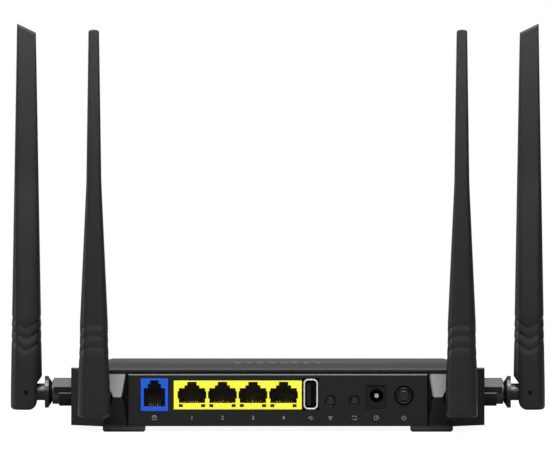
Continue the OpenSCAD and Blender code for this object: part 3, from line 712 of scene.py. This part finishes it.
def add_labels():
    """Numbers under the network sockets, and plain pictograms under the other ports and buttons."""
    face_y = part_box("rear_panel")[0].y
    label_z = 6.4 * MM

    def spot(x):
        return Vector((x, face_y, label_z))

    marks = []
    low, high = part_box("lan_contacts")
    half_row = 3.77 * MM
    first, last = low.x + half_row, high.x - half_row
    for i in range(4):
        x = first + (last - first) * i / 3
        marks.append(text_mesh(f"number_{i + 1}", str(i + 1), 2.6, spot(x)))
    line = 0.26
    labelled = ("dsl_jack", "usb_shell", "wlan_button", "wps_button", "dc_jack", "power_button")
    centre_x = {name: (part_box(name)[0].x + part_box(name)[1].x) / 2 for name in labelled}
    # Telephone line: a handset arc on a base
    at = spot(centre_x["dsl_jack"])
    base = [(-1.1, -0.8), (1.1, -0.8), (0.75, 0.25), (-0.75, 0.25)]
    marks.append(stroke("line_base", base, line, at, True))
    marks.append(stroke("line_arc", arc((0, -0.1), 1.15, 25, 155), 0.4, at))
    # Serial port: a stem with two branches
    at = spot(centre_x["usb_shell"])
    marks.append(stroke("branch_stem", [(-1.3, 0), (1.3, 0)], line, at))
    marks.append(stroke("branch_up", [(-0.7, 0), (-0.2, 0.7), (0.5, 0.7)], line, at))
    marks.append(stroke("branch_down", [(-0.3, 0), (0.2, -0.7), (0.9, -0.7)], line, at))
    # Radio: a dot under two arcs
    at = spot(centre_x["wlan_button"])
    for radius in (0.8, 1.5):
        marks.append(stroke(f"wave_{radius}", arc((0, -0.9), radius, 45, 135), line, at))
    marks.append(stroke("wave_dot", arc((0, -0.75), 0.2, 0, 340, 12), 0.2, at, True))
    # Pairing: two arrows chasing each other
    at = spot(centre_x["wps_button"])
    for turn in (0, 180):
        sweep = arc((0, 0), 0.9, turn + 20, turn + 150)
        tip = sweep[-1]
        marks.append(stroke(f"chase_{turn}", sweep, line, at))
        head = [(tip[0] - 0.45 * math.cos(math.radians(turn)), tip[1] + 0.1), tip,
                (tip[0], tip[1] + (0.5 if turn == 0 else -0.5))]
        marks.append(stroke(f"chase_tip_{turn}", head, line, at))
    # Power inlet: a pin in an open ring
    at = spot(centre_x["dc_jack"])
    marks.append(stroke("inlet_ring", arc((0, 0), 0.95, 35, 325), line, at))
    marks.append(stroke("inlet_pin", [(0, 0), (1.7, 0)], line, at))
    # On and off: a stroke through a broken ring
    at = spot(centre_x["power_button"])
    marks.append(stroke("power_ring", arc((0, -0.1), 0.9, 125, 415), line, at))
    marks.append(stroke("power_bar", [(0, 0), (0, 1.15)], line, at))
    piece = merge("panel_marks", marks)
    for face in piece.data.polygons:
        face.use_smooth = False
    piece.data.materials.clear()
    piece.data.materials.append(materials["label_ink"])
    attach(piece, "case")


# ---------- Room ----------

def add_camera():
    """A very long lens, level with the lower part of the antennas, looking at the port panel."""
    elevation = math.radians(3.05)
    shown_width = 251.6 * MM
    lens, sensor = 1400, 36
    aim = Vector((-1.3 * MM, panel_y, 93.9 * MM))
    back = Vector((0, -math.cos(elevation), math.sin(elevation)))
    data = bpy.data.cameras.new("camera")
    data.lens, data.sensor_width, data.sensor_fit = lens, sensor, "HORIZONTAL"
    data.clip_start, data.clip_end = 0.1, 40
    camera = bpy.data.objects.new("camera", data)
    camera.location = aim + back * (shown_width * lens / sensor)
    camera.rotation_mode = "QUATERNION"
    camera.rotation_quaternion = (-back).to_track_quat("-Z", "Y")
    scene.collection.objects.link(camera)
    scene.camera = camera


def add_floor():
    mesh = bpy.data.meshes.new("floor")
    side, front, back = 1.2, -0.5, 0.62
    mesh.from_pydata([(-side, front, 0), (side, front, 0), (side, back, 0), (-side, back, 0)], [],
                     [(0, 1, 2, 3)])
    floor = link("floor", mesh)
    mesh.materials.append(floor_material())


def floor_material():
    """Matt white, lit from within as seen by the camera, and darker in its own reflections."""
    material = bpy.data.materials.new("floor_paint")
    material.use_nodes = True
    tree = material.node_tree
    shader = tree.nodes["Principled BSDF"]
    set_socket(shader, "Roughness", 0.9)
    set_socket(shader, "Specular IOR Level", 0.1)
    set_socket(shader, "Emission Color", (1, 1, 1, 1))
    coordinates, path = tree.nodes.new("ShaderNodeTexCoord"), tree.nodes.new("ShaderNodeLightPath")
    mapping, ramp = tree.nodes.new("ShaderNodeMapping"), tree.nodes.new("ShaderNodeValToRGB")
    seen, glow = tree.nodes.new("ShaderNodeMapRange"), tree.nodes.new("ShaderNodeMath")
    tint = tree.nodes.new("ShaderNodeVectorMath")
    tint.operation = "SCALE"
    glow.operation = "MULTIPLY"
    set_socket(seen, "To Min", 0.2)
    set_socket(seen, "To Max", 0.08)
    glow.inputs[1].default_value = 0.93
    ramp.color_ramp.elements[0].color = (0.90, 0.90, 0.90, 1)
    ramp.color_ramp.elements[1].color = (0.94, 0.94, 0.94, 1)
    tree.links.new(coordinates.outputs["Object"], mapping.inputs["Vector"])
    tree.links.new(noise(tree, mapping, 400, 3).outputs["Fac"], ramp.inputs["Fac"])
    tree.links.new(path.outputs["Is Camera Ray"], seen.inputs["Value"])
    tree.links.new(path.outputs["Is Camera Ray"], glow.inputs[0])
    tree.links.new(glow.outputs["Value"], shader.inputs["Emission Strength"])
    tree.links.new(ramp.outputs["Color"], tint.inputs[0])
    tree.links.new(seen.outputs["Result"], tint.inputs["Scale"])
    tree.links.new(tint.outputs["Vector"], shader.inputs["Base Color"])
    return material


def add_area(name, at, target, size, power):
    data = bpy.data.lights.new(name, "AREA")
    data.shape = "RECTANGLE"
    data.size, data.size_y = size
    data.energy = power
    light = bpy.data.objects.new(name, data)
    light.location = at
    light.rotation_mode = "QUATERNION"
    light.rotation_quaternion = (Vector(target) - Vector(at)).to_track_quat("-Z", "Y")
    scene.collection.objects.link(light)


def add_world():
    """A white backdrop to look at, and dimmer, graded light from around: brightest behind and above."""
    world = bpy.data.worlds.new("room")
    world.use_nodes = True
    scene.world = world
    tree = world.node_tree
    new, join = tree.nodes.new, tree.links.new
    seen = tree.nodes["Background"]
    set_socket(seen, "Color", (1, 1, 1, 1))
    set_socket(seen, "Strength", 1.0)
    around = new("ShaderNodeBackground")
    direction, split = new("ShaderNodeTexCoord"), new("ShaderNodeSeparateXYZ")
    back, above, total = new("ShaderNodeMapRange"), new("ShaderNodeMapRange"), new("ShaderNodeMath")
    join(direction.outputs["Generated"], split.inputs["Vector"])
    join(split.outputs["Y"], back.inputs["Value"])
    join(split.outputs["Z"], above.inputs["Value"])
    for node, start, end, low, high in ((back, -0.1, 1.0, 0.05, 0.42), (above, 0.1, 1.0, 0.0, 0.3)):
        for socket, value in (("From Min", start), ("From Max", end), ("To Min", low), ("To Max", high)):
            set_socket(node, socket, value)
    join(back.outputs["Result"], total.inputs[0])
    join(above.outputs["Result"], total.inputs[1])
    join(total.outputs["Value"], around.inputs["Strength"])
    path, mix = new("ShaderNodeLightPath"), new("ShaderNodeMixShader")
    join(path.outputs["Is Camera Ray"], mix.inputs["Fac"])
    join(around.outputs["Background"], mix.inputs[1])
    join(seen.outputs["Background"], mix.inputs[2])
    join(mix.outputs["Shader"], tree.nodes["World Output"].inputs["Surface"])


def add_lights():
    """Soft boxes: a large one high in front, one above, and a low one on each side."""
    target = (0, -0.03, 0.04)
    add_area("front_box", (-0.02, -0.66, 1.0), target, (0.95, 0.42), 28)
    add_area("blade_box", (0.05, -0.55, 0.27), (0, 0, 0.18), (0.9, 0.06), 2.4)
    add_area("top_box", (0.0, -0.10, 1.2), target, (0.9, 0.34), 13)
    add_area("right_box", (0.95, -0.2, 0.45), target, (0.3, 0.6), 0.5)
    add_area("left_box", (-0.95, -0.07, 0.43), (0.07, -0.06, 0.02), (0.4, 0.4), 9)


# ---------- The router ----------

slot_of = {part["node"]: part["material_slot"] for part in frame["record"]["subparts"]}
materials = make_materials()

# How far each visible node's edges are rounded, in millimetres
SOFT_EDGES = {"top_cover": 0.35, "bottom_case": 0.35, "rear_panel": 0.12, "feet": 0.3, "dsl_jack": 0.15,
              "lan_jack": 0.08, "usb_tongue": 0.1, "dc_jack": 0.15, "case_screws": 0.08}
for place_name in PLACES:
    SOFT_EDGES[place_name + "_swivel"] = 0.2
    SOFT_EDGES[place_name + "_bush"] = 0.1
    SOFT_EDGES[place_name + "_pivot_pin"] = 0.08

add_camera()
add_floor()
add_world()
add_lights()
add_blades()
add_contacts()
add_usb_shell()
add_buttons()
add_labels()
shown_elsewhere = {name + "_blade" for name in PLACES} | {
    "dsl_contacts", "lan_contacts", "usb_shell", "wlan_button", "wps_button", "power_button"}
for node_name in sorted(nodes):
    if node_name not in shown_elsewhere:
        # Pivot pins take the near-black finish that also paints the shade of their holes.
        finish = "pin_black_and_hole_shade" if node_name.endswith("pivot_pin") else slot_of[node_name]
        dress(node_name, finish, SOFT_EDGES.get(node_name, 0.0))

scene.view_settings.view_transform = "Standard"
